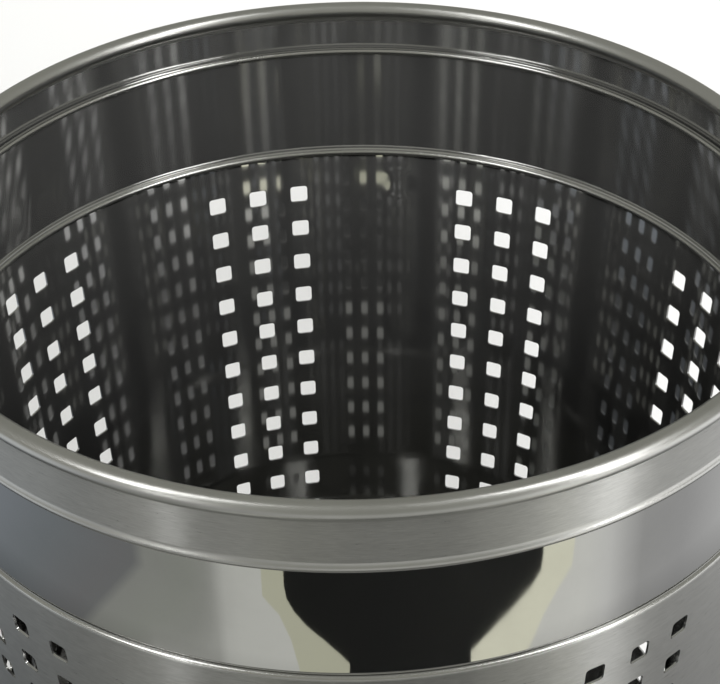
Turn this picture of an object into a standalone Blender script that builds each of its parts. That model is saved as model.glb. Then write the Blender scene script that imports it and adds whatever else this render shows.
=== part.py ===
"""An open-topped waste bin in perforated stainless steel, in metres, +Z up, its origin under its centre.

From the top down: a brushed collar whose lip is rolled round a wire, a mirror-polished neck that stands up inside
the collar, a tapered body with square holes in groups of three columns, a pressed base pan and a plastic ring
that the body stands in.
"""

import math

import bmesh
import bpy
from mathutils import Matrix, Vector

# Overall sizes
HEIGHT = 0.300
RIM_RADIUS = 0.120  # outside of the rolled lip
BASE_RADIUS = 0.0992  # outside of the body at its lower edge
SHEET = 0.0006  # thickness of the steel

# Collar
COLLAR_HEIGHT = 0.0190
COLLAR_TAPER = 0.0006  # how much its radius shrinks over its height
LIP_RADIUS = 0.0025  # outside of the roll
LIP_TURN = math.radians(270)
COLLAR_EDGE = 0.0010  # outside radius of its lower edge

# Neck: its upper and lower edges are turned in
NECK_HEIGHT = 0.0360
NECK_RISE = 0.0037  # how far it stands up inside the collar
NECK_RECESS = 0.0014  # how far it stands in from the collar's lower edge
NECK_EDGE = 0.0010  # outside radius of both edges
FLANGE_REACH = 0.0018  # how far both edges reach in from its outside

# Body: its upper edge is turned in and carries the neck
SHOULDER_RISE = 0.0007  # how far the body stands out from the neck
SHOULDER_EDGE = 0.0012  # outside radius of its upper edge

# Holes: every column stands on its own flat strip of the body
HOLE = 0.0053
ROW_PITCH = 0.01254
FIRST_ROW = 0.0159  # from the top of the body to the centre of the first row
LAST_ROW_MARGIN = 0.0098  # least height of the last row's centre above the base ring
GROUPS = 9
HOLE_COLUMNS = 3  # in each group
BLANK_COLUMNS = 3  # between two groups

# Base
RING_HEIGHT = 0.008
RING_WALL = 0.0016
RING_FLOOR = 0.0020
RING_SHELF = 0.0060  # how far the ring's floor reaches in under the body
PAN_FLOOR = 0.0080  # top of the pan above the ground
PAN_EDGE = 0.0020  # outside radius between the pan's floor and its skirt
PAN_DISH = 0.0015  # depth of the pressed step
PAN_DISH_RADIUS = 0.62  # share of the pan's own radius, a proportion of the pressing

FIT_GAP = 0.0003  # between pieces that touch

# Worked out from the sizes above
STRIPS = GROUPS * (HOLE_COLUMNS + BLANK_COLUMNS)
STRIP_ANGLE = 2 * math.pi / STRIPS
FLAT_SHARE = math.cos(STRIP_ANGLE / 2)  # a strip's middle stands in this much from its edges
FRONT = math.radians(-90)
LIP_STEPS = 6
WIRE_SIDES = 8
HALF_SHEET = SHEET / 2

COLLAR_FOOT = HEIGHT - COLLAR_HEIGHT
COLLAR_FOOT_RADIUS = RIM_RADIUS - COLLAR_TAPER
NECK_TOP = COLLAR_FOOT + NECK_RISE
NECK_FOOT = NECK_TOP - NECK_HEIGHT
NECK_RADIUS = COLLAR_FOOT_RADIUS - NECK_RECESS
FLANGE_END = NECK_RADIUS - FLANGE_REACH
BODY_TOP = NECK_FOOT - FIT_GAP
BODY_RADIUS = NECK_RADIUS + SHOULDER_RISE
BODY_FOOT = RING_FLOOR + FIT_GAP
WALL_TILT = math.atan2(BODY_RADIUS - BASE_RADIUS, BODY_TOP - BODY_FOOT)

BRUSHED = ("brushed_steel", (0.56, 0.56, 0.54), 0.32, 1.0)
POLISHED = ("polished_steel", (0.66, 0.66, 0.65), 0.05, 1.0)
DULL = ("plain_steel", (0.48, 0.48, 0.47), 0.28, 1.0)
PLASTIC = ("black_plastic", (0.02, 0.02, 0.022), 0.45, 0.0)


def clear_scene():
    for obj in list(bpy.data.objects):
        bpy.data.objects.remove(obj)


def new_collection(name):
    collection = bpy.data.collections.new(name)
    bpy.context.scene.collection.children.link(collection)
    return collection


def finish_material(finish):
    name, colour, roughness, metallic = finish
    material = bpy.data.materials.get(name)
    if material is None:
        material = bpy.data.materials.new(name)
        material.use_nodes = True
        shader = material.node_tree.nodes["Principled BSDF"]
        shader.inputs["Base Color"].default_value = (*colour, 1.0)
        shader.inputs["Roughness"].default_value = roughness
        shader.inputs["Metallic"].default_value = metallic
        material.diffuse_color = (*colour, 1.0)
    return material


def arc(centre, radius, start, end, steps):
    """Points (r, z) on an arc, both ends included, angles from +r towards +z."""
    points = []
    for i in range(steps + 1):
        angle = start + (end - start) * i / steps
        points.append((centre[0] + radius * math.cos(angle), centre[1] + radius * math.sin(angle)))
    return points


def body_radius_at(height):
    """Outside radius of the body's wall at a height."""
    return BASE_RADIUS + (height - BODY_FOOT) * math.tan(WALL_TILT)


def turned(name, profile, finish, collection, closed=False):
    """An object turned about Z from points (r, z), one strip to each column of holes."""
    mesh = bpy.data.meshes.new(name)
    edges = [(i, i + 1) for i in range(len(profile) - 1)]
    if closed:
        edges.append((len(profile) - 1, 0))
    mesh.from_pydata([(r, 0.0, z) for r, z in profile], edges, [])
    obj = bpy.data.objects.new(name, mesh)
    collection.objects.link(obj)
    mesh.materials.append(finish_material(finish))
    screw = obj.modifiers.new("turn", "SCREW")
    screw.axis = "Z"
    screw.angle = 2 * math.pi
    screw.steps = screw.render_steps = STRIPS
    screw.use_merge_vertices = True
    screw.merge_threshold = 0.00001
    screw.use_normal_calculate = True
    screw.use_smooth_shade = True
    return obj


def turned_sheet(name, profile, finish, collection):
    """Sheet metal turned about Z: the profile is the middle of the sheet."""
    obj = turned(name, profile, finish, collection)
    wall = obj.modifiers.new("sheet", "SOLIDIFY")
    wall.thickness = SHEET
    wall.offset = 0.0
    wall.use_even_offset = True
    return obj


def lip_centre():
    return RIM_RADIUS - LIP_RADIUS, HEIGHT - LIP_RADIUS


def collar(collection):
    """Brushed band: a lower edge turned in to the neck, the wall, and the lip rolled inwards."""
    edge = COLLAR_EDGE - HALF_SHEET
    foot = COLLAR_FOOT + HALF_SHEET
    wall_foot = COLLAR_FOOT_RADIUS - HALF_SHEET
    profile = [(NECK_RADIUS + FIT_GAP, foot)]
    profile += arc((wall_foot - edge, foot + edge), edge, math.radians(-60), 0.0, 2)
    profile += arc(lip_centre(), LIP_RADIUS - HALF_SHEET, 0.0, LIP_TURN, LIP_STEPS)
    return turned_sheet("rim_collar", profile, BRUSHED, collection)


def wire(collection):
    """Steel wire that the lip is rolled round."""
    radius = LIP_RADIUS - SHEET - FIT_GAP
    sides = arc(lip_centre(), radius, 0.0, -2 * math.pi, WIRE_SIDES)[:-1]
    return turned("rim_wire", sides, DULL, collection, closed=True)


def neck(collection):
    """Polished band between its two turned-in edges."""
    edge = NECK_EDGE - HALF_SHEET
    wall = NECK_RADIUS - HALF_SHEET
    foot = NECK_FOOT + HALF_SHEET
    top = NECK_TOP - HALF_SHEET
    profile = [(FLANGE_END, foot)]
    profile += arc((wall - edge, foot + edge), edge, math.radians(-90), 0.0, 2)
    profile += arc((wall - edge, top - edge), edge, 0.0, math.radians(90), 2)
    profile.append((FLANGE_END, top))
    return turned_sheet("neck_band", profile, POLISHED, collection)


def hole_cutter(collection, rows):
    """One box for each hole, square to the body's wall, all in one helper object."""
    depth = 0.02
    mesh = bmesh.new()
    for group in range(GROUPS):
        for column in range(HOLE_COLUMNS):
            strip = group * (HOLE_COLUMNS + BLANK_COLUMNS) + column - (HOLE_COLUMNS - 1) / 2
            around = Matrix.Rotation(FRONT + strip * STRIP_ANGLE, 4, "Z")
            for height in rows:
                radius = body_radius_at(height) * FLAT_SHARE
                place = Matrix.Translation(Vector((radius, 0.0, height)))
                lean = Matrix.Rotation(WALL_TILT, 4, "Y")
                size = Matrix.Diagonal(Vector((depth, HOLE, HOLE, 1.0)))
                bmesh.ops.create_cube(mesh, size=1.0, matrix=around @ place @ lean @ size)
    data = bpy.data.meshes.new("hole_cutter")
    mesh.to_mesh(data)
    mesh.free()
    cutter = bpy.data.objects.new("hole_cutter", data)
    collection.objects.link(cutter)
    cutter.hide_render = True
    cutter.display_type = "WIRE"
    return cutter


def hole_rows():
    """Heights of the hole rows' centres, as many as the body has room for."""
    first = BODY_TOP - FIRST_ROW
    count = int((first - RING_HEIGHT - LAST_ROW_MARGIN) / ROW_PITCH) + 1
    return [first - i * ROW_PITCH for i in range(count)]


def body(collection, cutters):
    """Tapered perforated shell with its upper edge turned in as the neck's seat."""
    edge = SHOULDER_EDGE - HALF_SHEET
    top = BODY_TOP - HALF_SHEET
    wall = BODY_RADIUS - HALF_SHEET / math.cos(WALL_TILT)
    profile = [(FLANGE_END, top)]
    profile += arc((wall - edge, top - edge), edge, math.radians(90), 0.0, 2)
    profile.append((BASE_RADIUS - HALF_SHEET / math.cos(WALL_TILT), BODY_FOOT))
    obj = turned_sheet("body_shell", profile, BRUSHED, collection)
    holes = obj.modifiers.new("holes", "BOOLEAN")
    holes.operation = "DIFFERENCE"
    holes.solver = "EXACT"
    holes.object = hole_cutter(cutters, hole_rows())
    return obj


def pan(collection):
    """Pressed bottom: a stepped floor whose skirt turns down inside the body."""
    inside = SHEET / math.cos(WALL_TILT) + FIT_GAP + HALF_SHEET
    skirt_foot = body_radius_at(BODY_FOOT) - inside
    edge = PAN_EDGE - HALF_SHEET
    top = PAN_FLOOR - HALF_SHEET
    dish = skirt_foot * PAN_DISH_RADIUS
    profile = [(0.0, top - PAN_DISH), (dish, top - PAN_DISH), (dish + 2 * PAN_DISH, top)]
    profile += arc((skirt_foot - edge, top - edge), edge, math.radians(90), 0.0, 2)
    profile.append((skirt_foot, BODY_FOOT))
    return turned_sheet("base_pan", profile, DULL, collection)


def ring(collection):
    """Plastic ring that the body's lower edge stands in."""
    gap = FIT_GAP / math.cos(WALL_TILT)
    inner_foot = body_radius_at(RING_FLOOR) + gap
    inner_top = body_radius_at(RING_HEIGHT) + gap
    outer = inner_top + RING_WALL
    bevel = RING_WALL / 2
    shelf = BASE_RADIUS - RING_SHELF
    profile = [
        (inner_top, RING_HEIGHT),
        (outer - bevel, RING_HEIGHT),
        (outer, RING_HEIGHT - bevel),
        (outer, bevel),
        (outer - bevel, 0.0),
        (shelf, 0.0),
        (shelf, RING_FLOOR),
        (inner_foot, RING_FLOOR),
    ]
    return turned("base_ring", profile, PLASTIC, collection, closed=True)


def main():
    clear_scene()
    bin_parts = new_collection("waste_bin")
    cutters = new_collection("cutters")
    collar(bin_parts)
    wire(bin_parts)
    neck(bin_parts)
    body(bin_parts, cutters)
    pan(bin_parts)
    ring(bin_parts)


main()
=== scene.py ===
# %% [markdown]
# # A waste bin in perforated stainless steel
#
# The bin is three bands of thin steel sheet, one above the other. At the top is a brushed collar
# whose lip is rolled round a wire. Under it comes a mirror-polished neck, and under that a tapered
# body full of square holes. A pressed pan closes the bottom and a plastic ring keeps the sheet's
# edge off the floor.
#
# The CAD model gives every size. It is loaded first and stays still, and each band is then modelled
# again with rounder edges, holes with round corners and its real finish.

import math

import bmesh
import bpy
from mathutils import Matrix, Vector


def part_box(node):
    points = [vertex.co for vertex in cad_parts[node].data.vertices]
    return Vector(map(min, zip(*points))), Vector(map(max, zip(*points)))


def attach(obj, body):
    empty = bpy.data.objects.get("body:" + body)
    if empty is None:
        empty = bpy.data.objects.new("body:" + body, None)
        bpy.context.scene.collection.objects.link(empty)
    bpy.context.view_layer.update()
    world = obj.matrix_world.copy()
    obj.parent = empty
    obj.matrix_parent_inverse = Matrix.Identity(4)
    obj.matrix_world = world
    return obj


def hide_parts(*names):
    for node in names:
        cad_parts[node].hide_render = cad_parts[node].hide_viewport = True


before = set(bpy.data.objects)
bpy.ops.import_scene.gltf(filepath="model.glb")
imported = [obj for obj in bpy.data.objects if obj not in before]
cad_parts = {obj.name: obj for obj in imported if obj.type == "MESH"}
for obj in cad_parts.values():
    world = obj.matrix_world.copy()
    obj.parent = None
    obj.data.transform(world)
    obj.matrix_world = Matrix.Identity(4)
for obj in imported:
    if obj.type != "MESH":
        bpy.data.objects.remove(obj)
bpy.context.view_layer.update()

# %% [markdown]
# The bands' radii and heights are read from the CAD nodes, so the two models can't drift apart.
# Only what the CAD leaves plain, such as the radius of a rolled edge, is a new value here.

# %% Sizes from the frame
MM = 0.001


def node_span(node):
    """Outside radius, lowest height and highest height of a round CAD node."""
    low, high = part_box(node)
    return high.x, low.z, high.z


RIM_RADIUS, COLLAR_FOOT, RIM_TOP = node_span("rim_collar")
NECK_RADIUS, NECK_FOOT, NECK_TOP = node_span("neck_band")
BODY_RADIUS, BODY_FOOT, BODY_TOP = node_span("body_shell")
PAN_RADIUS, PAN_FOOT, PAN_TOP = node_span("base_pan")
RING_RADIUS, RING_FOOT, RING_TOP = node_span("base_ring")
WIRE_RADIUS, WIRE_FOOT, WIRE_TOP = node_span("rim_wire")
SHEET = 0.6 * MM


def radius_at_foot(node):
    """Largest radius among a node's lowest points."""
    points = [vertex.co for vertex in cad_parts[node].data.vertices]
    low = min(point.z for point in points)
    return max(point.xy.length for point in points if point.z < low + 0.1 * MM)


BASE_RADIUS = radius_at_foot("body_shell")
print("rim", round(RIM_RADIUS / MM, 1), "mm, base", round(BASE_RADIUS / MM, 1), "mm in radius")

# %% [markdown]
# Every band is a turned shape. On a lathe or in a spinning machine the section is the whole design,
# so the section is drawn first, as the middle line of the sheet, and then spun round Z. A primitive
# squeezed to a single point is the start of the line, and each further point is extruded from the
# last, as one does by hand.

# %% Helpers for turned sheet
STEPS = 270  # sides of every turned piece
WELD = 0.001 * MM  # points nearer than this are one


def deselect_all():
    if bpy.context.mode != "OBJECT":
        bpy.ops.object.mode_set(mode="OBJECT")
    bpy.ops.object.select_all(action="DESELECT")


def arc(centre, radius, start, end, steps):
    """Points (r, z) on an arc, angles in degrees from +r towards +z."""
    points = []
    for step in range(steps + 1):
        angle = math.radians(start + (end - start) * step / steps)
        points.append((centre[0] + radius * math.cos(angle), centre[1] + radius * math.sin(angle)))
    return points


def draw_section(name, section, closed=False):
    """A chain of edges through the points (r, z), left in edit mode."""
    deselect_all()
    first = section[0]
    bpy.ops.mesh.primitive_plane_add(size=MM, location=(first[0], 0, first[1]))
    piece = bpy.context.object
    piece.name = piece.data.name = name
    bpy.ops.object.mode_set(mode="EDIT")
    bpy.ops.mesh.select_mode(type="VERT")
    bpy.ops.mesh.merge(type="CENTER")
    for here, there in zip(section, section[1:]):
        step = (there[0] - here[0], 0, there[1] - here[1])
        bpy.ops.mesh.extrude_vertices_move(TRANSFORM_OT_translate={"value": step})
    if closed:
        step = (first[0] - section[-1][0], 0, first[1] - section[-1][1])
        bpy.ops.mesh.extrude_vertices_move(TRANSFORM_OT_translate={"value": step})
    return piece


def spin_section():
    """Turn the chain being edited once round Z and close its seam."""
    bpy.ops.mesh.select_all(action="SELECT")
    bpy.ops.mesh.spin(steps=STEPS, angle=2 * math.pi, center=(0, 0, 0), axis=(0, 0, 1))
    bpy.ops.mesh.select_all(action="SELECT")
    bpy.ops.mesh.remove_doubles(threshold=WELD)
    bpy.ops.mesh.normals_make_consistent(inside=False)
    bpy.ops.object.mode_set(mode="OBJECT")
    bpy.ops.object.transform_apply(location=True, rotation=True, scale=True)


def signed_volume(piece):
    mesh = bmesh.new()
    mesh.from_mesh(piece.data)
    volume = mesh.calc_volume(signed=True)
    mesh.free()
    return volume


def finish_piece(piece, smooth_below=40):
    """Face the walls outwards and smooth what bends gently; large faces decide the normals."""
    deselect_all()
    piece.select_set(True)
    bpy.context.view_layer.objects.active = piece
    if signed_volume(piece) < 0:
        bpy.ops.object.mode_set(mode="EDIT")
        bpy.ops.mesh.select_all(action="SELECT")
        bpy.ops.mesh.flip_normals()
        bpy.ops.object.mode_set(mode="OBJECT")
    bpy.ops.object.shade_smooth_by_angle(angle=math.radians(smooth_below))
    weighted = piece.modifiers.new("true_walls", "WEIGHTED_NORMAL")
    weighted.weight = 100
    weighted.keep_sharp = True
    bpy.ops.object.modifier_apply(modifier=weighted.name)
    volume = round(signed_volume(piece) * 1e6, 2)
    print(piece.name, len(piece.data.polygons), "faces,", volume, "cm3")
    return piece


def thicken(piece):
    """Give the middle line its thickness, half to each side."""
    wall = piece.modifiers.new("sheet", "SOLIDIFY")
    wall.thickness = SHEET
    wall.offset = 0
    wall.use_even_offset = True
    bpy.ops.object.modifier_apply(modifier=wall.name)


def turned_sheet(name, section):
    piece = draw_section(name, section)
    spin_section()
    thicken(piece)
    return finish_piece(piece)


def turned_solid(name, section):
    piece = draw_section(name, section, closed=True)
    spin_section()
    return finish_piece(piece)


print("sheet of", round(SHEET / MM, 2), "mm, turned in", STEPS, "steps")

# %% [markdown]
# The collar is what the hand meets first. Its lip is rolled inwards until it nearly closes on the
# wire, and its lower end swells into a small bead before it turns in under itself. The bead is what
# draws the bright and dark pair of lines under the band.

# %% The collar and its wire
HALF = SHEET / 2
LIP = 2.5 * MM  # outside radius of the roll
LIP_START = -38  # degrees of the arc at which the wall goes over into the roll
LIP_END = 285  # and at which the roll stops
BEAD = 1.0 * MM  # radius of the bead's outside
BEAD_RISE = 0.55 * MM  # how far the bead stands out from the wall
COLLAR_TAPER = 0.9 * MM  # from the lip's outside to the wall's foot
WALL_LEAN = 0.45 * MM  # from the wall's top to its foot
EDGE_GAP = 0.3 * MM  # between a turned edge and the band it meets


def collar_section():
    lip_centre = (RIM_RADIUS - LIP, RIM_TOP - LIP)
    wall_foot = RIM_RADIUS - COLLAR_TAPER - HALF
    bead_centre = (wall_foot + BEAD_RISE - BEAD, COLLAR_FOOT + BEAD + HALF)
    section = [(NECK_RADIUS + EDGE_GAP, COLLAR_FOOT + HALF)]
    section += arc(bead_centre, BEAD, -75, 32, 9)
    section += [(wall_foot + 0.02 * MM, bead_centre[1] + 1.15 * MM)]
    section += [(wall_foot, bead_centre[1] + 1.8 * MM)]
    wall_top = lip_centre[1] + (LIP - HALF) * math.sin(math.radians(LIP_START))
    for part in (0.25, 0.5, 0.75):
        height = bead_centre[1] + 1.8 * MM
        section += [(wall_foot + WALL_LEAN * part, height + (wall_top - height) * part)]
    section += arc(lip_centre, LIP - HALF, LIP_START, LIP_END, 26)
    return section


collar = turned_sheet("collar_band", collar_section())
wire_thickness = WIRE_TOP - WIRE_FOOT
wire_centre = (WIRE_RADIUS - wire_thickness / 2, (WIRE_TOP + WIRE_FOOT) / 2)
wire = turned_solid("lip_wire", arc(wire_centre, wire_thickness / 2, 0, 337.5, 15))

# %% [markdown]
# The neck is a plain band between two turned edges. Its upper edge stands inside the collar and
# shows in the bin as a bright ring, because it is rolled over into a half-round nose.

# %% The neck
NOSE = 0.65 * MM  # radius of the rolled noses inside the bin
NOSE_CENTRE = NECK_RADIUS - 1.3 * MM
NECK_EDGE = 0.7 * MM  # radius of the neck's own bends
NECK_FLANGE_END = NOSE_CENTRE + 0.3 * MM  # where the turned-in foot stops


def neck_section():
    bend = NECK_RADIUS - HALF - NECK_EDGE
    top = NECK_TOP - HALF
    foot = NECK_FOOT + HALF
    section = [(NECK_FLANGE_END, foot)]
    section += arc((bend, foot + NECK_EDGE), NECK_EDGE, -90, 0, 6)
    section += arc((bend, top - NECK_EDGE), NECK_EDGE, 0, 90, 6)
    section += arc((NOSE_CENTRE, top - NOSE), NOSE, 90, 270, 12)
    return section


neck = turned_sheet("neck_band_polished", neck_section())

# %% [markdown]
# The body starts as a flat blank, as the real one does. One hole and the sheet round it are
# modelled once, as a tile. The tile is repeated in rows and columns, with plain tiles between the
# groups, and the blank is then rolled up into a cone. Every tile has the same points along its
# edges, so the tiles weld into one sheet.

# %% One tile of the blank
GROUPS = 9
HOLE_COLUMNS = 3
STRIPS = 54
ROWS = 18
ROW_PITCH = 12.54 * MM
FIRST_ROW = 15.9 * MM  # from the top of the body to the first row's centre
STRIP = 2 * math.pi * BODY_RADIUS / STRIPS  # a strip's width on the flat blank
HOLE = 5.6 * MM
HOLE_CORNER = 1.0 * MM
CORNER_STEPS = 4

FLAT = HOLE / 2 - HOLE_CORNER  # half the straight part of a hole's side
MIDWAY = math.tan(math.radians(22.5))  # the middle of a rounded corner looks this way
ACROSS_LINES = (FLAT, FLAT + (STRIP / 2 - FLAT) * MIDWAY, STRIP / 2)
UP_LINES = (FLAT, FLAT + (ROW_PITCH / 2 - FLAT) * MIDWAY, ROW_PITCH / 2)


def edge_point(point):
    """Where the line from a hole's rounded corner meets the tile's edge."""
    side_x = math.copysign(1, point.x)
    side_z = math.copysign(1, point.z)
    turn = math.atan2(abs(point.z) - FLAT, abs(point.x) - FLAT)
    if turn <= math.radians(45.1):
        up = FLAT + (ROW_PITCH / 2 - FLAT) * math.tan(turn)
        return Vector((side_x * STRIP / 2, 0, side_z * up))
    across = FLAT + (STRIP / 2 - FLAT) * math.tan(math.radians(90) - turn)
    return Vector((side_x * across, 0, side_z * ROW_PITCH / 2))


def hole_tile():
    deselect_all()
    bpy.ops.mesh.primitive_plane_add(size=HOLE, rotation=(math.radians(90), 0, 0))
    tile = bpy.context.object
    bpy.ops.object.transform_apply(rotation=True)
    bpy.ops.object.mode_set(mode="EDIT")
    bpy.ops.mesh.select_all(action="SELECT")
    bpy.ops.mesh.bevel(offset=HOLE_CORNER, segments=CORNER_STEPS, affect="VERTICES")
    bpy.ops.mesh.select_all(action="SELECT")
    bpy.ops.mesh.delete(type="ONLY_FACE")
    bpy.ops.mesh.select_all(action="SELECT")
    bpy.ops.mesh.extrude_edges_move()
    bpy.ops.object.mode_set(mode="OBJECT")
    for vertex in tile.data.vertices:
        if vertex.select:
            vertex.co = edge_point(vertex.co)
    return tile


def plain_tile():
    deselect_all()
    bpy.ops.mesh.primitive_grid_add(
        x_subdivisions=5, y_subdivisions=5, size=1, rotation=(math.radians(90), 0, 0)
    )
    tile = bpy.context.object
    bpy.ops.object.transform_apply(rotation=True)
    for vertex in tile.data.vertices:
        across = ACROSS_LINES[round((abs(vertex.co.x) - 0.1) / 0.2)]
        up = UP_LINES[round((abs(vertex.co.z) - 0.1) / 0.2)]
        vertex.co = (math.copysign(across, vertex.co.x), 0, math.copysign(up, vertex.co.z))
    return tile


def repeat(piece, count, step):
    """Copies of the piece in a line, as an applied Array."""
    deselect_all()
    piece.select_set(True)
    bpy.context.view_layer.objects.active = piece
    array = piece.modifiers.new("repeat", "ARRAY")
    array.count = count
    array.use_relative_offset = False
    array.use_constant_offset = True
    array.constant_offset_displace = step
    bpy.ops.object.modifier_apply(modifier=array.name)
    return piece


def move_mesh(piece, step):
    for vertex in piece.data.vertices:
        vertex.co += Vector(step)


holes = repeat(hole_tile(), HOLE_COLUMNS, (STRIP, 0, 0))
plain = repeat(plain_tile(), STRIPS // GROUPS - HOLE_COLUMNS, (STRIP, 0, 0))
move_mesh(plain, (HOLE_COLUMNS * STRIP, 0, 0))
deselect_all()
plain.select_set(True)
holes.select_set(True)
bpy.context.view_layer.objects.active = holes
bpy.ops.object.join()
body = holes
body.name = body.data.name = "perforated_body"
repeat(body, ROWS, (0, 0, -ROW_PITCH))
repeat(body, GROUPS, (STRIP * STRIPS / GROUPS, 0, 0))
print("blank:", len(body.data.polygons), "faces for", ROWS * GROUPS * HOLE_COLUMNS, "holes")

# %% [markdown]
# Rolling up the blank is one formula: a distance across the blank becomes an angle, and the radius
# shrinks with the height. The blank's upper and lower edges are extruded to the sheet's own edges,
# and the upper one goes on inwards as the rounded shoulder and the nose that carry the neck.

# %% Roll the blank into a cone and add its edges
SHOULDER = 1.2 * MM  # outside radius of the shoulder's bend
WALL_TOP = BODY_TOP - 3.4 * MM  # the last ring of points below the bend
SAME_PLACE = 0.01 * MM  # points of two tiles are one when nearer than this


def body_radius(height):
    """Radius of the middle of the body's sheet."""
    share = (height - BODY_FOOT) / (BODY_TOP - BODY_FOOT)
    return BASE_RADIUS + (BODY_RADIUS - BASE_RADIUS) * share - HALF


def roll_up(piece):
    for vertex in piece.data.vertices:
        angle = vertex.co.x / BODY_RADIUS - STRIP / BODY_RADIUS
        height = BODY_TOP - FIRST_ROW + vertex.co.z
        radius = body_radius(height)
        vertex.co = (radius * math.sin(angle), -radius * math.cos(angle), height)


def select_loop(piece, height):
    """Select the open edge loop at a height, in edit mode."""
    bpy.ops.mesh.select_all(action="DESELECT")
    bpy.ops.object.mode_set(mode="OBJECT")
    for vertex in piece.data.vertices:
        vertex.select = abs(vertex.co.z - height) < SAME_PLACE
    for edge in piece.data.edges:
        ends = [piece.data.vertices[index] for index in edge.vertices]
        edge.select = all(end.select for end in ends)
    bpy.ops.object.mode_set(mode="EDIT")


def extrude_ring(radius, height, next_radius, next_height):
    """Extrude the selected ring from one radius and height to the next."""
    bpy.ops.mesh.extrude_edges_move(
        TRANSFORM_OT_translate={"value": (0, 0, next_height - height)}
    )
    scale = next_radius / radius
    bpy.ops.transform.resize(value=(scale, scale, 1), center_override=(0, 0, next_height))


def extrude_outline(piece, start_height, outline):
    select_loop(piece, start_height)
    here = (body_radius(start_height), start_height)
    for there in outline:
        extrude_ring(*here, *there)
        here = there


deselect_all()
body.select_set(True)
bpy.context.view_layer.objects.active = body
roll_up(body)
bpy.ops.object.mode_set(mode="EDIT")
bpy.ops.mesh.select_mode(type="VERT")
bpy.ops.mesh.select_all(action="SELECT")
bpy.ops.mesh.remove_doubles(threshold=SAME_PLACE)
top_edge = BODY_TOP - FIRST_ROW + ROW_PITCH / 2
low_edge = BODY_TOP - FIRST_ROW - (ROWS - 0.5) * ROW_PITCH
shoulder_centre = (body_radius(BODY_TOP) - SHOULDER + HALF, BODY_TOP - SHOULDER)
outline = [(body_radius(WALL_TOP), WALL_TOP)]
outline += arc(shoulder_centre, SHOULDER - HALF, 0, 90, 7)
outline += arc((NOSE_CENTRE, BODY_TOP - HALF - NOSE), NOSE, 90, 270, 12)
extrude_outline(body, top_edge, outline)
extrude_outline(body, low_edge, [(body_radius(BODY_FOOT), BODY_FOOT)])
bpy.ops.mesh.select_all(action="SELECT")
bpy.ops.mesh.normals_make_consistent(inside=False)
bpy.ops.object.mode_set(mode="OBJECT")
thicken(body)
finish_piece(body, smooth_below=35)

# %% [markdown]
# A sheet with holes has small faces of many shapes, and their averaged normals would pucker the
# reflections round each hole. The real sheet is a plain cone there, so every corner on the wall
# gets the cone's own normal.

# %% The cone's own normals
PLAIN_WALL = 0.98  # a face on the wall looks this nearly straight away from the axis
SHOULDER_ZONE = 3.0 * MM  # the wall stops this far below the body's top


def true_wall_normals(piece):
    lean = (BODY_RADIUS - BASE_RADIUS) / (BODY_TOP - BODY_FOOT)
    mesh = piece.data
    normals = [Vector(corner.vector) for corner in mesh.corner_normals]
    for face in mesh.polygons:
        away = Vector((face.center.x, face.center.y, 0)).normalized()
        facing = face.normal.dot(away)
        if abs(facing) < PLAIN_WALL:
            continue
        for corner in face.loop_indices:
            point = mesh.vertices[mesh.loops[corner].vertex_index].co
            if BODY_FOOT < point.z < BODY_TOP - SHOULDER_ZONE:
                straight_out = Vector((point.x, point.y, 0)).normalized()
                normal = (straight_out - Vector((0, 0, lean))).normalized()
                normals[corner] = normal if facing > 0 else -normal
    mesh.normals_split_custom_set(normals)


true_wall_normals(body)
print("wall normals set on", body.name)

# %% [markdown]
# The pan is pressed from one disc: a floor with a shallow step, a rounded edge and a skirt that
# stands inside the body. The ring is a moulding with soft edges, and a groove in it holds the
# body's lower edge.

# %% The pan and the ring
PAN_EDGE = 1.7 * MM
PAN_DISH = 1.5 * MM
DISH_RADIUS = 0.6 * PAN_RADIUS
DISH_EDGE = 1.0 * MM  # radius of the bends round the dish
RING_SOFT = 0.5 * MM  # radius of the ring's edges
RING_SHELF = 6 * MM  # how far the ring reaches in under the body


def pan_section():
    wall = PAN_RADIUS - HALF
    top = PAN_TOP - HALF
    section = [(0, top - PAN_DISH), (DISH_RADIUS * 0.5, top - PAN_DISH)]
    section += arc((DISH_RADIUS, top - PAN_DISH + DISH_EDGE), DISH_EDGE, 270, 315, 4)
    section += arc((DISH_RADIUS + 2.2 * MM, top - DISH_EDGE), DISH_EDGE, 135, 90, 4)
    section += [(DISH_RADIUS + 8 * MM, top)]
    section += arc((wall - PAN_EDGE, top - PAN_EDGE), PAN_EDGE, 90, 0, 6)
    section += [(wall, PAN_FOOT)]
    return section


def ring_section():
    inner = body_radius(RING_TOP) + HALF + EDGE_GAP
    shelf = BASE_RADIUS - RING_SHELF
    floor = BODY_FOOT - EDGE_GAP
    soft = RING_SOFT
    section = arc((inner + soft, RING_TOP - soft), soft, 180, 90, 3)
    section += arc((RING_RADIUS - soft, RING_TOP - soft), soft, 90, 0, 4)
    section += arc((RING_RADIUS - soft, RING_FOOT + soft), soft, 0, -90, 4)
    section += arc((shelf + soft, RING_FOOT + soft), soft, -90, -180, 3)
    section += arc((shelf + soft, floor - soft), soft, 180, 90, 3)
    section += [(BASE_RADIUS + EDGE_GAP, floor)]
    return section


pan = turned_sheet("pressed_pan", pan_section())
ring = turned_solid("floor_ring", ring_section())

# %% [markdown]
# The bin's finishes are lines left by a brushing belt that ran round the bands, a mirror polish
# that is never quite flat, satin edges in between that the belt didn't reach, and the mill's own
# bright face inside. What they share is built as node groups: the brush marks, the slow waves of a
# polished sheet, and the haze that hands and cloths leave.

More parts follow.
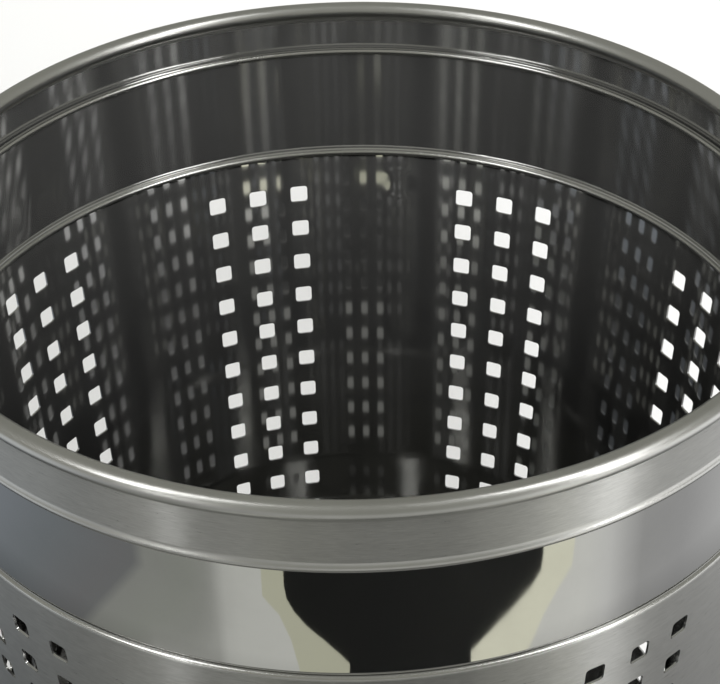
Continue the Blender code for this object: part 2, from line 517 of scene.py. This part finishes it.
# %% Node group helpers
def new_group(name, inputs, outputs):
    """An empty shader node group with its named sockets."""
    group = bpy.data.node_groups.new(name, "ShaderNodeTree")
    for socket, kind, value in inputs:
        made = group.interface.new_socket(name=socket, in_out="INPUT", socket_type=kind)
        if value is not None:
            made.default_value = value
    for socket in outputs:
        group.interface.new_socket(name=socket, in_out="OUTPUT", socket_type="NodeSocketFloat")
    return group, group.nodes.new("NodeGroupInput"), group.nodes.new("NodeGroupOutput")


def feed(tree, socket, value):
    """Link the value to the socket if it is a socket itself, or else set it."""
    if isinstance(value, bpy.types.NodeSocket):
        tree.links.new(value, socket)
    else:
        socket.default_value = value


def add_node(tree, kind, settings=None, **links):
    """A node with its settings; inputs are fed by name, or by number as i0, i1 and so on."""
    node = tree.nodes.new(kind)
    for key, value in (settings or {}).items():
        setattr(node, key, value)
    for key, value in links.items():
        numbered = key[0] == "i" and key[1:].isdigit()
        feed(tree, node.inputs[int(key[1:]) if numbered else key.replace("_", " ")], value)
    return node


def maths(tree, operation, first, second):
    node = add_node(tree, "ShaderNodeMath", {"operation": operation}, i0=first, i1=second)
    return node.outputs[0]


# %% [markdown]
# Brush marks are noise that is stretched along the band and squeezed across it. The belt runs round
# the bin, so across means up the wall and also outwards over the lip: height and radius both go in,
# the radius as the noise's fourth number.

# %% The brush marks
def brush_marks_group():
    group, given, result = new_group(
        "brush_marks",
        [
            ("Place", "NodeSocketVector", None),
            ("Lines per metre", "NodeSocketFloat", 5000.0),
            ("Marks per metre", "NodeSocketFloat", 25.0),
        ],
        ["Marks"],
    )
    parts = add_node(group, "ShaderNodeSeparateXYZ", Vector=given.outputs["Place"])
    across = given.outputs["Lines per metre"]
    along = given.outputs["Marks per metre"]
    flat = add_node(group, "ShaderNodeCombineXYZ", X=parts.outputs["X"], Y=parts.outputs["Y"])
    radius = add_node(group, "ShaderNodeVectorMath", {"operation": "LENGTH"}, i0=flat.outputs[0])
    stretched = add_node(
        group,
        "ShaderNodeCombineXYZ",
        X=maths(group, "MULTIPLY", parts.outputs["X"], along),
        Y=maths(group, "MULTIPLY", parts.outputs["Y"], along),
        Z=maths(group, "MULTIPLY", parts.outputs["Z"], across),
    )
    noise = add_node(
        group,
        "ShaderNodeTexNoise",
        {"noise_dimensions": "4D"},
        Vector=stretched.outputs[0],
        W=maths(group, "MULTIPLY", radius.outputs["Value"], across),
        Scale=1.0,
        Detail=3.0,
        Roughness=0.65,
    )
    group.links.new(noise.outputs[0], result.inputs["Marks"])
    return group


def waves_group():
    """Slow waves that run up the sheet, as rolling and polishing leave them."""
    group, given, result = new_group(
        "polish_waves",
        [
            ("Place", "NodeSocketVector", None),
            ("Around", "NodeSocketFloat", 30.0),
            ("Up", "NodeSocketFloat", 8.0),
        ],
        ["Waves"],
    )
    parts = add_node(group, "ShaderNodeSeparateXYZ", Vector=given.outputs["Place"])
    around = given.outputs["Around"]
    stretched = add_node(
        group,
        "ShaderNodeCombineXYZ",
        X=maths(group, "MULTIPLY", parts.outputs["X"], around),
        Y=maths(group, "MULTIPLY", parts.outputs["Y"], around),
        Z=maths(group, "MULTIPLY", parts.outputs["Z"], given.outputs["Up"]),
    )
    noise = add_node(
        group,
        "ShaderNodeTexNoise",
        Vector=stretched.outputs[0],
        Scale=1.0,
        Detail=1.0,
        Roughness=0.4,
    )
    group.links.new(noise.outputs[0], result.inputs["Waves"])
    return group


def haze_group():
    """Patches where hands and cloths have dulled the polish."""
    group, given, result = new_group(
        "handling_haze",
        [("Place", "NodeSocketVector", None), ("Patches per metre", "NodeSocketFloat", 22.0)],
        ["Haze"],
    )
    noise = add_node(
        group,
        "ShaderNodeTexNoise",
        Vector=given.outputs["Place"],
        Scale=given.outputs["Patches per metre"],
        Detail=5.0,
        Roughness=0.6,
    )
    patches = add_node(
        group,
        "ShaderNodeMapRange",
        {"interpolation_type": "SMOOTHSTEP"},
        Value=noise.outputs[0],
        From_Min=0.45,
        From_Max=0.7,
    )
    group.links.new(patches.outputs[0], result.inputs["Haze"])
    return group


BRUSH_MARKS = brush_marks_group()
WAVES = waves_group()
HAZE = haze_group()
print("node groups:", [group.name for group in (BRUSH_MARKS, WAVES, HAZE)])

# %% [markdown]
# Each material holds its own Principled shader. Numbers that don't change over the surface, such as
# how much the gloss is stretched, are set on the shader itself. The next helpers make a new
# material, place a group in it and mix two shades.

# %% Helpers for materials
def new_material(name, colour):
    material = bpy.data.materials.new(name)
    material.use_nodes = True
    material.diffuse_color = (*colour, 1)
    tree = material.node_tree
    shader = tree.nodes["Principled BSDF"]
    shader.inputs["Base Color"].default_value = (*colour, 1)
    place = tree.nodes.new("ShaderNodeTexCoord").outputs["Object"]
    return material, tree, shader, place


def use_group(tree, group, **inputs):
    node = tree.nodes.new("ShaderNodeGroup")
    node.node_tree = group
    for key, value in inputs.items():
        feed(tree, node.inputs[key.replace("_", " ")], value)
    return node.outputs[0]


def between(tree, factor, low, high):
    """A value that goes from low to high as the factor goes from 0 to 1."""
    node = add_node(tree, "ShaderNodeMapRange", Value=factor, To_Min=low, To_Max=high)
    return node.outputs[0]


def tint(tree, factor, dark, light):
    """A colour between two, each given as three numbers or as a socket."""
    ends = [end if isinstance(end, bpy.types.NodeSocket) else (*end, 1) for end in (dark, light)]
    node = add_node(
        tree, "ShaderNodeMix", {"data_type": "RGBA"}, Factor=factor, A=ends[0], B=ends[1]
    )
    return node.outputs["Result"]


def bump(tree, height, distance, strength=1.0):
    node = add_node(tree, "ShaderNodeBump", Height=height, Distance=distance, Strength=strength)
    return node.outputs["Normal"]


# %% [markdown]
# Brushed steel is thousands of short scratches side by side. They are far finer than the mesh, so
# they are a pattern: a fine one for the scratches and a broad one for the belt's uneven pressure.
# The scratches also pull each glint out into a streak across them, which is what the anisotropic
# gloss does.

# %% Brushed steel
FINE_SHARE = 0.8  # of the fine marks in the pattern; the rest is broad ones


def stretch_glints(tree, shader, amount):
    """Glints on brushed metal stand across its marks, which run round the bin."""
    shader.inputs["Anisotropic"].default_value = amount
    shader.inputs["Anisotropic Rotation"].default_value = 0.25
    tangent = add_node(tree, "ShaderNodeTangent", {"direction_type": "RADIAL", "axis": "Z"})
    tree.links.new(tangent.outputs[0], shader.inputs["Tangent"])


def brushed_steel(name, dark, light, roughness):
    material, tree, shader, place = new_material(name, light)
    fine = use_group(tree, BRUSH_MARKS, Place=place, Lines_per_metre=4200.0, Marks_per_metre=320.0)
    broad = use_group(tree, BRUSH_MARKS, Place=place, Lines_per_metre=1100.0, Marks_per_metre=60.0)
    haze = use_group(tree, HAZE, Place=place, Patches_per_metre=16.0)
    fine_part = maths(tree, "MULTIPLY", fine, FINE_SHARE)
    both = maths(tree, "ADD", fine_part, maths(tree, "MULTIPLY", broad, 1 - FINE_SHARE))
    contrast = add_node(tree, "ShaderNodeMapRange", Value=both, From_Min=0.32, From_Max=0.68)
    marks = contrast.outputs[0]
    tree.links.new(tint(tree, marks, dark, light), shader.inputs["Base Color"])
    dulled = maths(tree, "MULTIPLY", haze, 0.02)
    rough = maths(tree, "ADD", between(tree, marks, *roughness), dulled)
    tree.links.new(rough, shader.inputs["Roughness"])
    tree.links.new(bump(tree, both, 0.012 * MM, strength=0.5), shader.inputs["Normal"])
    shader.inputs["Metallic"].default_value = 1.0
    stretch_glints(tree, shader, 1.0)
    return material


# %% [markdown]
# Polished steel shows the room, and only its slow waves give it away as sheet. The same material
# without waves and with more roughness serves for satin edges, which a hand polisher leaves on a
# rolled lip.

# %% Polished and satin steel
def polished_steel(name, dark, light, roughness, wave_height=0.0):
    material, tree, shader, place = new_material(name, light)
    haze = use_group(tree, HAZE, Place=place, Patches_per_metre=24.0)
    tree.links.new(tint(tree, haze, light, dark), shader.inputs["Base Color"])
    tree.links.new(between(tree, haze, *roughness), shader.inputs["Roughness"])
    if wave_height:
        waves = use_group(tree, WAVES, Place=place, Around=30.0, Up=6.0)
        tree.links.new(bump(tree, waves, wave_height), shader.inputs["Normal"])
    shader.inputs["Metallic"].default_value = 1.0
    return material


# %% [markdown]
# Inside, the sheet keeps the bright face it was rolled with. It mirrors the opposite wall, holes
# and all, under a thin grey veil that is strongest near the mouth and fades further down: painted
# shade for the light that dims down the bin. Two welding tacks have left shallow dents, which show
# only by how they bend the reflections, so they are part of the bump.

# %% The inside
DENTS = (  # place, radius and depth in millimetres
    ((0.0056, 0.1168, 0.2358), 7 * MM, 0.05),
    ((-0.1020, 0.0592, 0.2570), 9 * MM, 0.08),
)
WAVE_HEIGHT = 0.03  # in millimetres


def dimple(tree, place, centre, radius):
    """Height of a small round dent in the sheet, 1 at its middle and 0 past its radius."""
    away = add_node(tree, "ShaderNodeVectorMath", {"operation": "DISTANCE"}, i0=place, i1=centre)
    depth = add_node(
        tree,
        "ShaderNodeMapRange",
        {"interpolation_type": "SMOOTHERSTEP"},
        Value=away.outputs["Value"],
        From_Min=0.0,
        From_Max=radius,
        To_Min=1.0,
        To_Max=0.0,
    )
    return depth.outputs[0]


def inside_steel(name, dark, light, roughness, stretch):
    material, tree, shader, place = new_material(name, light)
    waves = use_group(tree, WAVES, Place=place, Around=34.0, Up=7.0)
    haze = use_group(tree, HAZE, Place=place, Patches_per_metre=24.0)
    tree.links.new(tint(tree, haze, light, dark), shader.inputs["Base Color"])
    tree.links.new(between(tree, haze, *roughness), shader.inputs["Roughness"])
    height = maths(tree, "MULTIPLY", waves, WAVE_HEIGHT)
    for centre, radius, depth in DENTS:
        dent = maths(tree, "MULTIPLY", dimple(tree, place, centre, radius), depth)
        height = maths(tree, "SUBTRACT", height, dent)
    tree.links.new(bump(tree, height, MM), shader.inputs["Normal"])
    # Less metallic near the mouth, so more grey veil catches light there: painted shade, lighter
    # high up and darker lower in the bin.
    parts = add_node(tree, "ShaderNodeSeparateXYZ", Vector=place)
    veil_painted_shade = add_node(
        tree,
        "ShaderNodeMapRange",
        Value=parts.outputs["Z"],
        From_Min=0.13,
        From_Max=0.26,
        To_Min=0.99,
        To_Max=0.935,
    )
    tree.links.new(veil_painted_shade.outputs[0], shader.inputs["Metallic"])
    stretch_glints(tree, shader, stretch)
    return material


# %% [markdown]
# The floor ring is black plastic from a grained mould, dull and a little paler where it has been
# handled.

# %% Black plastic and all the finishes
def moulded_plastic(name):
    material, tree, shader, place = new_material(name, (0.022, 0.022, 0.024))
    grain = add_node(tree, "ShaderNodeTexNoise", Vector=place, Scale=2600.0, Detail=2.0).outputs[0]
    haze = use_group(tree, HAZE, Place=place, Patches_per_metre=30.0)
    shade = tint(tree, haze, (0.018, 0.018, 0.02), (0.034, 0.034, 0.035))
    tree.links.new(shade, shader.inputs["Base Color"])
    tree.links.new(between(tree, haze, 0.42, 0.56), shader.inputs["Roughness"])
    tree.links.new(bump(tree, grain, 0.03 * MM, strength=0.6), shader.inputs["Normal"])
    return material


BRUSHED = brushed_steel("brushed_steel", (0.47, 0.47, 0.455), (0.62, 0.62, 0.60), (0.27, 0.33))
SATIN = polished_steel("satin_edge", (0.54, 0.54, 0.52), (0.62, 0.62, 0.60), (0.22, 0.28))
SOFT = polished_steel("soft_lip", (0.54, 0.54, 0.52), (0.62, 0.62, 0.60), (0.29, 0.33))
MIRROR = polished_steel(
    "mirror_outside", (0.60, 0.60, 0.59), (0.64, 0.64, 0.63), (0.025, 0.06), 0.06 * MM
)
INSIDE = inside_steel("bright_inside", (0.50, 0.50, 0.49), (0.56, 0.56, 0.55), (0.04, 0.06), 0.3)
INSIDE_BAND = inside_steel("drawn_inside", (0.46, 0.46, 0.45), (0.52, 0.52, 0.51), (0.08, 0.11), 0.9)
# Nearly black steel for the pan, and the wire shares it: painted shade for the dark bottom of the
# bin.
DARKENED_STEEL = polished_steel(
    "darkened_steel_painted_shade", (0.11, 0.11, 0.108), (0.15, 0.15, 0.147), (0.14, 0.22), 0.02 * MM
)
PLASTIC = moulded_plastic("black_plastic")
print("finishes:", [material.name for material in bpy.data.materials if material.use_nodes])

# %% [markdown]
# A band has a different finish on each side and at its edges. One could cut each band into pieces,
# but on the real bin they are one sheet, so each face is given its slot by where it is and which
# way it looks.

# %% Put the finishes on
OUTWARD = 0.9  # a face that looks this nearly straight out is on the wall's outside
LIP_HEIGHT = 1.6 * LIP  # the roll's share of the collar's outside
BEAD_HEIGHT = 2.9 * MM  # the bead's share
SHOULDER_DEPTH = 2.6 * MM  # below the body's top


def paint(piece, materials, choose):
    """Give each face the slot that choose(centre, outward) names; outward is 1 straight out."""
    piece.data.materials.clear()
    for material in materials:
        piece.data.materials.append(material)
    for face in piece.data.polygons:
        away = Vector((face.center.x, face.center.y, 0))
        outward = face.normal.dot(away.normalized()) if away.length > 0 else 0
        face.material_index = choose(face.center, outward)


def collar_slot(centre, outward):
    """Brushed on the wall, drawn inside it, and soft on the lip and the bead."""
    on_wall = COLLAR_FOOT + BEAD_HEIGHT < centre.z < RIM_TOP - LIP_HEIGHT
    if outward > OUTWARD and on_wall and centre.xy.length > RIM_RADIUS - 1.2 * MM:
        return 0
    if outward < -0.5 and centre.z < RIM_TOP - 2.2 * LIP:
        return 2
    return 1


def on_nose(centre, top):
    """Whether a face belongs to the rolled nose at a band's top."""
    return centre.z > top - 3.0 * NOSE and centre.xy.length < NOSE_CENTRE + 0.1 * MM


def neck_slot(centre, outward):
    """Mirror outside and on the top edge, drawn inside, and satin on the nose."""
    if on_nose(centre, NECK_TOP):
        return 2
    return 0 if outward > 0.3 or centre.z > NECK_TOP - MM else 1


def body_slot(centre, outward):
    """Brushed outside, bright inside, and a shoulder that is satin below and mirror on top."""
    if on_nose(centre, BODY_TOP):
        return 1
    if outward > OUTWARD:
        return 0
    if centre.z > BODY_TOP - SHOULDER_DEPTH:
        return 1 if outward > 0.2 else 3
    return 2


paint(collar, [BRUSHED, SOFT, INSIDE_BAND], collar_slot)
paint(neck, [MIRROR, INSIDE_BAND, SATIN], neck_slot)
paint(body, [BRUSHED, SATIN, INSIDE, MIRROR], body_slot)
paint(wire, [DARKENED_STEEL], lambda centre, outward: 0)
paint(pan, [DARKENED_STEEL], lambda centre, outward: 0)
paint(ring, [PLASTIC], lambda centre, outward: 0)
for piece in (collar, neck, body):
    slots = [face.material_index for face in piece.data.polygons]
    print(piece.name, "faces per slot:", [slots.count(slot) for slot in sorted(set(slots))])

# %% [markdown]
# Nothing on this bin moves, so every piece rides on the one body. Each new piece takes the place
# of its CAD node, which is hidden.

# %% Tie the pieces to the frame
PIECES = (
    (collar, "rim_collar", "rim_steel"),
    (wire, "rim_wire", "plain_steel"),
    (neck, "neck_band", "polished_steel"),
    (body, "body_shell", "body_steel"),
    (pan, "base_pan", "plain_steel"),
    (ring, "base_ring", "ring_plastic"),
)
for piece, node, slot in PIECES:
    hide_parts(node)
    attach(piece, "root")
    print(piece.name, "stands for", node)

# %% [markdown]
# Polished metal shows its surroundings and little else, so the studio matters as much as the
# finish. The floor is pale and bright behind the bin. What the steel mirrors is placed by its
# azimuth from the camera, because that is what decides where it shows on a round wall.

# %% The studio
def matt(name, colour):
    """A dull paint or cloth with the faintest mottle."""
    material, tree, shader, place = new_material(name, colour)
    mottle = add_node(tree, "ShaderNodeTexNoise", Vector=place, Scale=3.0, Detail=4.0).outputs[0]
    darker = tuple(0.97 * part for part in colour)
    tree.links.new(tint(tree, mottle, darker, colour), shader.inputs["Base Color"])
    shader.inputs["Roughness"].default_value = 0.9
    return material


CAMERA_TURN = math.radians(5)  # how far the camera stands round from the front
FLOOR_SIZE = 8


def around_camera(azimuth, distance, height):
    """A place at an azimuth in degrees from the camera's own, seen from the bin's axis."""
    turn = CAMERA_TURN + math.radians(azimuth)
    return Vector((distance * math.sin(turn), -distance * math.cos(turn), height))


def stage_plane(name, size, location, material):
    deselect_all()
    bpy.ops.mesh.primitive_plane_add(size=1, location=location)
    plane = bpy.context.object
    plane.name = name
    plane.scale = (*size, 1)
    plane.data.materials.append(material)
    return plane


def lamp(name, size, location, power, aim=(0, 0, 0.25)):
    light = bpy.data.lights.new(name, "AREA")
    light.shape = "RECTANGLE"
    light.size, light.size_y = size
    light.energy = power
    holder = bpy.data.objects.new(name, light)
    bpy.context.scene.collection.objects.link(holder)
    holder.location = location
    holder.rotation_euler = (Vector(aim) - Vector(location)).to_track_quat("-Z", "Y").to_euler()
    return holder


PALE = matt("pale_floor", (0.80, 0.80, 0.80))
floor = stage_plane("floor", (FLOOR_SIZE, FLOOR_SIZE), (0, 0, 0), PALE)
print("floor of", FLOOR_SIZE, "m")

# %% [markdown]
# Two upright lamps stand on each side. The high, wide one lies as a soft highlight along the rolled
# lip, which looks up, and the low, narrow one draws the upright glint on the brushed bands, which
# look straight out. The lamp behind lights the floor there, and the key lamp throws the bin's
# shadow back and to the left. Neither of those two shows in the steel.

# %% The lamps
LAMPS_AWAY = 1.05


def side_lamp(name, azimuth, width, foot, top, brightness):
    """An upright lamp facing the bin; brightness is what a mirror would see in it."""
    tall = top - foot
    middle = (foot + top) / 2
    power = brightness * math.pi * width * tall
    stand = around_camera(azimuth, LAMPS_AWAY, middle)
    return lamp(name, (width, tall), stand, power, aim=(0, 0, middle))


side_lamp("left_high_lamp", -52, 0.26, 0.8, 2.6, 4.6)
side_lamp("left_low_lamp", -38, 0.03, 0.02, 0.7, 8.0)
side_lamp("right_high_lamp", 57, 0.30, 0.8, 2.6, 4.8)
side_lamp("right_low_lamp", 54, 0.12, 0.02, 0.7, 6.5)
floor_lamp = lamp("floor_lamp", (1.2, 1.2), (0.2, 2.0, 1.0), 36, aim=(0.1, 1.0, 0))
key_lamp = lamp("key_lamp", (0.4, 0.4), (0.35, -1.2, 1.25), 25)
for light in (floor_lamp, key_lamp):
    light.visible_glossy = False

# %% [markdown]
# The neck is a mirror that looks down at the floor close in front. A low ring stands there that
# glows in painted shades, changing round the bin: cool and dim on the left, lighter towards the
# right. Its lower part is what the neck shows, and its upper part is what the collar's brushed wall
# gathers up. The same glow lies on the floor inside the ring, at its dimmest. Only reflections see
# them, so they are painted reflections, each showing just the shade it is given.

# %% The painted shades of the glowing ring
LOW_SHADES = (
    (-180, (0.45, 0.45, 0.44)),
    (-120, (0.30, 0.31, 0.32)),
    (-88, (0.233, 0.256, 0.287)),
    (-66, (0.18, 0.197, 0.21)),
    (-50, (0.175, 0.177, 0.18)),
    (-45.5, (0.175, 0.18, 0.18)),
    (-44.5, (0.275, 0.28, 0.26)),
    (-34, (0.29, 0.30, 0.27)),
    (-30, (0.32, 0.325, 0.30)),
    (-27, (0.53, 0.535, 0.50)),
    (-24, (0.575, 0.58, 0.54)),
    (47, (0.74, 0.74, 0.70)),
    (53, (0.68, 0.68, 0.66)),
    (58, (0.50, 0.50, 0.49)),
    (62, (0.39, 0.39, 0.385)),
    (74, (0.40, 0.40, 0.40)),
    (90, (0.54, 0.54, 0.54)),
    (120, (0.60, 0.60, 0.58)),
    (150, (0.35, 0.35, 0.35)),
)
HIGH_SHADES = (
    (-180, (0.50, 0.50, 0.49)),
    (-90, (0.58, 0.60, 0.62)),
    (-62, (0.63, 0.65, 0.66)),
    (-50, (0.40, 0.41, 0.41)),
    (-42, (0.26, 0.26, 0.25)),
    (-20, (0.30, 0.30, 0.29)),
    (-8, (0.43, 0.43, 0.41)),
    (15, (0.44, 0.44, 0.42)),
    (27, (0.52, 0.52, 0.50)),
    (37, (0.85, 0.85, 0.82)),
    (46, (1.10, 1.10, 1.06)),
    (58, (0.85, 0.85, 0.83)),
    (75, (1.08, 1.08, 1.08)),
    (100, (1.00, 1.00, 1.00)),
    (130, (0.60, 0.60, 0.60)),
)
print(len(LOW_SHADES), "shades low on the ring,", len(HIGH_SHADES), "high on it")

# %% The glowing ring, seen only in reflections
REFLECTION_RING_DISTANCE = 0.30
REFLECTION_RING_TOP = 0.285
LEAN_FROM = 0.10  # below this height the shades on the left lean outwards


def glow(shader, shade):
    """Give a shader nothing but its own even light."""
    shader.inputs["Base Color"].default_value = (0, 0, 0, 1)
    shader.inputs["Roughness"].default_value = 1.0
    shader.inputs["Emission Color"].default_value = (*shade, 1)
    shader.inputs["Emission Strength"].default_value = 1.0


def shade_ramp(tree, turn, shades):
    """Shades round the bin; turn goes from 0 to 1 once round, and each shade has its azimuth."""
    node = add_node(tree, "ShaderNodeValToRGB", Fac=turn)
    for end in node.color_ramp.elements:
        end.color = (*shades[0][1], 1)
    for azimuth, shade in shades[1:]:
        node.color_ramp.elements.new((azimuth + 180) / 360).color = (*shade, 1)
    return node.outputs[0]


def shaded_reflection_glow():
    grey = (0.5, 0.5, 0.5)
    material, tree, shader, place = new_material("shaded_reflection_glow", grey)
    glow(shader, grey)
    parts = add_node(tree, "ShaderNodeSeparateXYZ", Vector=place)
    height = parts.outputs["Z"]
    back = maths(tree, "MULTIPLY", parts.outputs["Y"], -1.0)
    turn = maths(tree, "DIVIDE", maths(tree, "ARCTAN2", parts.outputs["X"], back), math.tau)
    from_back = maths(tree, "ADD", turn, 0.5)
    drop = maths(tree, "MAXIMUM", maths(tree, "SUBTRACT", LEAN_FROM, height), 0.0)
    at_left = add_node(tree, "ShaderNodeMapRange", Value=turn, From_Min=-0.08, From_Max=-0.12)
    leaned = maths(tree, "ADD", from_back, maths(tree, "MULTIPLY", drop, at_left.outputs[0]))
    low = shade_ramp(tree, leaned, LOW_SHADES)
    high = shade_ramp(tree, from_back, HIGH_SHADES)
    above = add_node(tree, "ShaderNodeMapRange", Value=height, From_Min=0.12, From_Max=0.15)
    shade = tint(tree, above.outputs[0], low, high)
    # Darker towards the floor: painted shade on the glowing ring and on the floor glow.
    dusk = add_node(
        tree, "ShaderNodeMapRange", Value=height, From_Min=0.015, From_Max=0.07, To_Min=0.25
    )
    dimmed = add_node(
        tree, "ShaderNodeVectorMath", {"operation": "SCALE"}, i0=shade, Scale=dusk.outputs[0]
    )
    tree.links.new(dimmed.outputs[0], shader.inputs["Emission Color"])
    return material


def only_in_reflections(piece):
    piece.visible_camera = False
    piece.visible_diffuse = False
    piece.visible_shadow = False
    piece.visible_transmission = False


deselect_all()
bpy.ops.mesh.primitive_cylinder_add(
    vertices=120,
    radius=REFLECTION_RING_DISTANCE,
    depth=REFLECTION_RING_TOP,
    end_fill_type="NOTHING",
    location=(0, 0, REFLECTION_RING_TOP / 2),
)
reflection_ring = bpy.context.object
reflection_ring.name = "reflection_ring"
bpy.ops.object.transform_apply(location=True)
reflection_ring.rotation_euler.z = CAMERA_TURN
reflection_ring.data.materials.append(shaded_reflection_glow())
only_in_reflections(reflection_ring)
# The floor glow inside the ring, at its dimmest: painted shade, seen only in reflections.
painted_floor_reflection = stage_plane("painted_floor_reflection", (1, 1), (0, 0, MM), shaded_reflection_glow())
only_in_reflections(painted_floor_reflection)
print("paper ring", REFLECTION_RING_TOP, "m high at", REFLECTION_RING_DISTANCE, "m")

# %% [markdown]
# Cards are hung just inside the ring, and only reflections see them, so they are painted
# reflections: a black one, where the camera stands, for the dark middle of the neck, and a glowing
# cream one to each side behind it. Each is a grid whose rows are bent to their own width, wide at
# the top and narrow at the foot, so its reflection has the outline of a funnel.

# %% The hung cards
BLACK_DISTANCE = REFLECTION_RING_DISTANCE - 0.004
CREAM_DISTANCE = REFLECTION_RING_DISTANCE - 0.002


def painted_reflection_glow(name, shade):
    material, tree, shader, place = new_material(name, shade)
    glow(shader, shade)
    return material


def hung_card(name, distance, edges, material):
    """A bent card; edges gives (height, left azimuth, right azimuth) from its foot to its top."""
    deselect_all()
    bpy.ops.mesh.primitive_grid_add(x_subdivisions=24, y_subdivisions=len(edges) - 1, size=2)
    card = bpy.context.object
    card.name = name
    for point in card.data.vertices:
        row = round((point.co.y + 1) / 2 * (len(edges) - 1))
        height, left, right = edges[row]
        azimuth = left + (right - left) * (point.co.x + 1) / 2
        point.co = around_camera(azimuth, distance, height)
    card.data.materials.append(material)
    only_in_reflections(card)


BLACK_EDGES = (
    (0.001, -21, 25),
    (0.057, -21, 25),
    (0.062, -2.2, 22.7),
    (0.0725, -2, 22.6),
    (0.0775, -4, 25),
    (0.084, -7, 28.3),
    (0.0905, -10.3, 31.8),
    (0.097, -12.7, 35),
    (0.103, -14.1, 36.9),
    (0.109, -14.5, 37.2),
    (0.135, -14.5, 37.2),
)
LEFT_EDGES = (
    (0.06, -12, 0),
    (0.067, -12.2, 0),
    (0.081, -13.6, 0),
    (0.093, -15.8, 0),
    (0.101, -19, 0),
    (0.135, -19, 0),
)
RIGHT_EDGES = (
    (0.06, 10, 34.5),
    (0.0785, 10, 38.2),
    (0.0885, 10, 40.9),
    (0.098, 10, 44),
    (0.135, 10, 45),
)
# Seen only in reflections: a black card and two glowing cream cards, painted reflections for the
# neck.
DARK_REFLECTION_CARD = matt("black_reflection_card", (0.012, 0.0127, 0.012))
CREAM_REFLECTION_GLOW = painted_reflection_glow("cream_reflection_glow", (0.52, 0.52, 0.40))
BRIGHT_REFLECTION_GLOW = painted_reflection_glow("bright_cream_reflection_glow", (0.84, 0.83, 0.67))
hung_card("black_card", BLACK_DISTANCE, BLACK_EDGES, DARK_REFLECTION_CARD)
hung_card("left_cream_card", CREAM_DISTANCE, LEFT_EDGES, CREAM_REFLECTION_GLOW)
hung_card("right_cream_card", CREAM_DISTANCE, RIGHT_EDGES, BRIGHT_REFLECTION_GLOW)

# %% [markdown]
# The room is white where the camera looks past the floor, and a dim grey everywhere else. A white
# room would be mirrored all over the steel and wash it out.

# %% The room
world = bpy.data.worlds.new("studio_room")
bpy.context.scene.world = world
world.use_nodes = True
room = world.node_tree
seen = room.nodes.new("ShaderNodeLightPath").outputs["Is Camera Ray"]
backdrop = tint(room, seen, (0.28, 0.28, 0.25), (1.0, 1.0, 1.0))
room.links.new(backdrop, room.nodes["Background"].inputs["Color"])
print("room:", world.name)

# %% [markdown]
# The camera looks down into the bin from close in front, through a long lens, and leans very
# slightly to one side. Its place is given in rim radii from the centre of the rim, so it follows
# the bin's size.

# %% The camera
CAMERA_BACK = 3.6338 * RIM_RADIUS
CAMERA_UP = 2.2796 * RIM_RADIUS
PITCH = math.radians(36.032)
YAW = math.radians(0.227)
LEAN = math.radians(-0.969)
LENS = 98.93  # millimetres, on a back that is 36 mm wide


def look(pitch, yaw, lean):
    """The camera's axes, as columns: right, up and back."""
    level = math.cos(pitch)
    ahead = Vector((math.sin(yaw) * level, math.cos(yaw) * level, -math.sin(pitch)))
    right = Vector((math.cos(yaw), -math.sin(yaw), 0))
    up = right.cross(ahead)
    leaned_right = math.cos(lean) * right + math.sin(lean) * up
    leaned_up = -math.sin(lean) * right + math.cos(lean) * up
    return Matrix((leaned_right, leaned_up, -ahead)).transposed().to_4x4()


camera = bpy.data.objects.new("camera", bpy.data.cameras.new("camera"))
bpy.context.scene.collection.objects.link(camera)
camera.data.lens = LENS
camera.data.sensor_width = 36
camera.data.clip_start = 0.01
place = Matrix.Translation(Vector((0, -CAMERA_BACK, RIM_TOP + CAMERA_UP)))
camera.matrix_world = Matrix.Rotation(CAMERA_TURN, 4, "Z") @ place @ look(PITCH, YAW, LEAN)
bpy.context.scene.camera = camera
bpy.context.scene.view_settings.view_transform = "Standard"
print("camera at", tuple(round(part, 3) for part in camera.matrix_world.translation))
